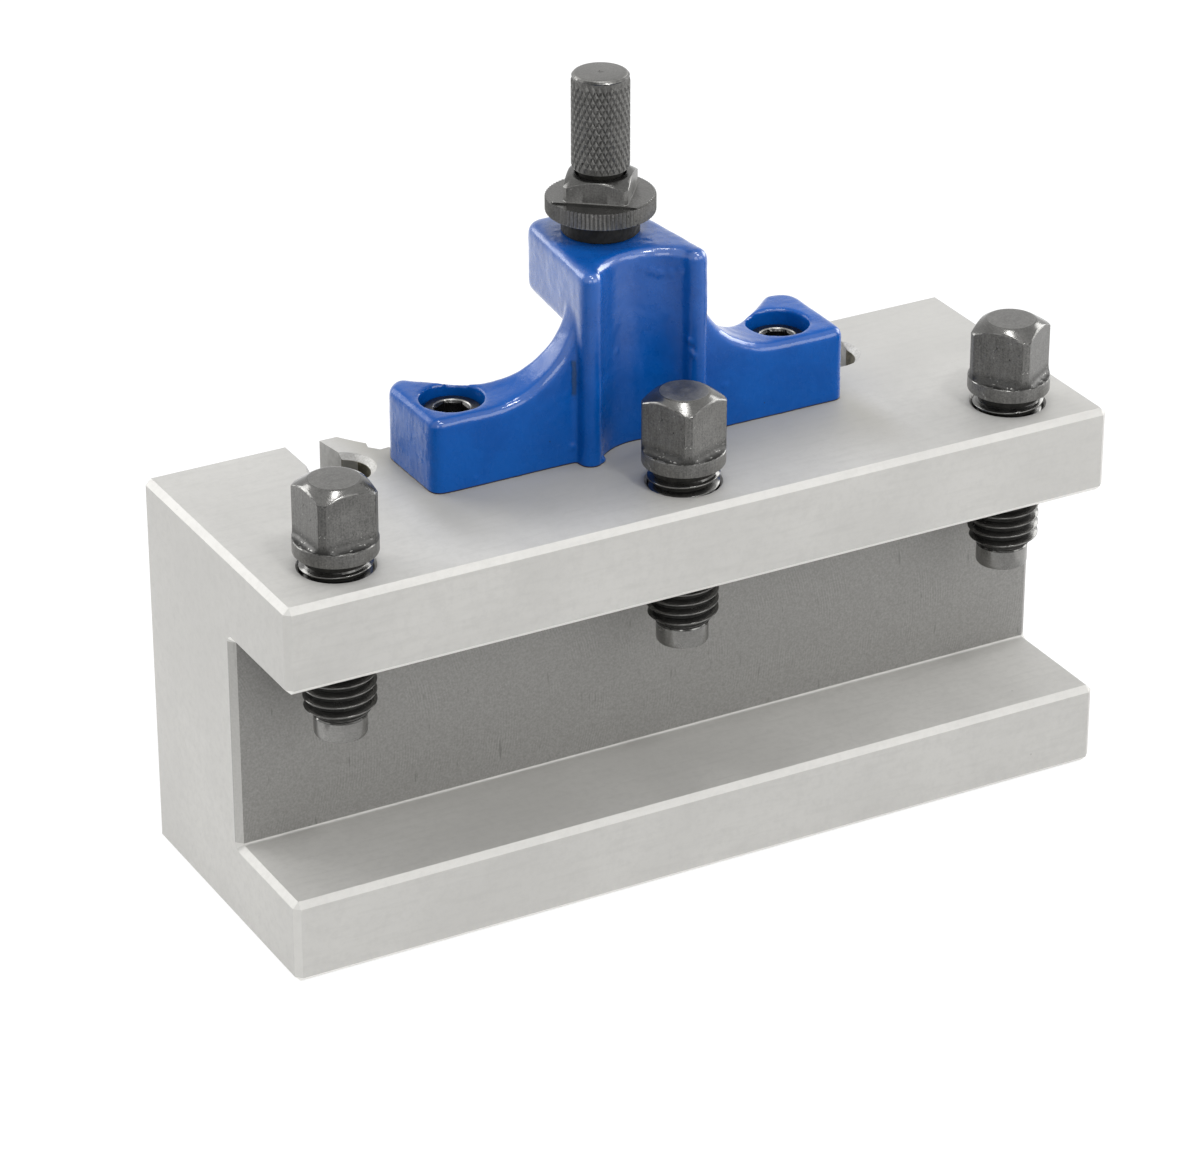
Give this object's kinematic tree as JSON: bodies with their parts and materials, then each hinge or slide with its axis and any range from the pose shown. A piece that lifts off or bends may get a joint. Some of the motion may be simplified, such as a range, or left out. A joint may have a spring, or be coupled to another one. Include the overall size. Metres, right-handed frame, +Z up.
{
  "type": "quick change lathe tool holder",
  "caption": "Steel block with an open slot and square head clamp screws for a lathe tool, a toothed hollow at the back for the post, and a blue bracket with a knurled height screw.",
  "frame": {"origin": "middle of the bottom face of the block", "axes": "+X along the holder, -Y towards the open tool side, +Y towards the tool post, +Z up"},
  "size_m": [0.15, 0.053, 0.1271],
  "materials": {
    "ground_steel": "fine ground, satin",
    "blue_casting": "glossy blue paint over a cast surface",
    "black_clamp_screw": "black oxide, worn bright on the corners",
    "black_cap_screw": "black oxide, glossy",
    "black_adjuster": "black oxide, knurled",
    "black_nut": "black oxide, knurled rim"
  },
  "bodies": {
    "holder": {"holder_body": "ground_steel", "height_bracket": "blue_casting", "bracket_screw_left": "black_cap_screw", "bracket_screw_right": "black_cap_screw"},
    "clamp_left": {"clamp_screw_left": "black_clamp_screw"},
    "clamp_middle": {"clamp_screw_middle": "black_clamp_screw"},
    "clamp_right": {"clamp_screw_right": "black_clamp_screw"},
    "adjuster": {"adjusting_screw": "black_adjuster"},
    "nut": {"lock_nut": "black_nut"}
  },
  "joints": [
    {"name": "clamp_left_feed", "type": "slide", "parent": "holder", "child": "clamp_left", "axis": [0, 0, 1], "range_m": [-0.0025, 0.0144]},
    {"name": "clamp_middle_feed", "type": "slide", "parent": "holder", "child": "clamp_middle", "axis": [0, 0, 1], "range_m": [-0.0034, 0.0144]},
    {"name": "clamp_right_feed", "type": "slide", "parent": "holder", "child": "clamp_right", "axis": [0, 0, 1], "range_m": [-0.0025, 0.0144]},
    {"name": "height_feed", "type": "slide", "parent": "holder", "child": "adjuster", "axis": [0, 0, 1], "range_m": [0, 0.012]},
    {"name": "lock_nut_turn", "type": "hinge", "parent": "adjuster", "child": "nut", "pos_m": [0, 0.0109, 0.1035], "axis": [0, 0, 1], "continuous": true}
  ]
}
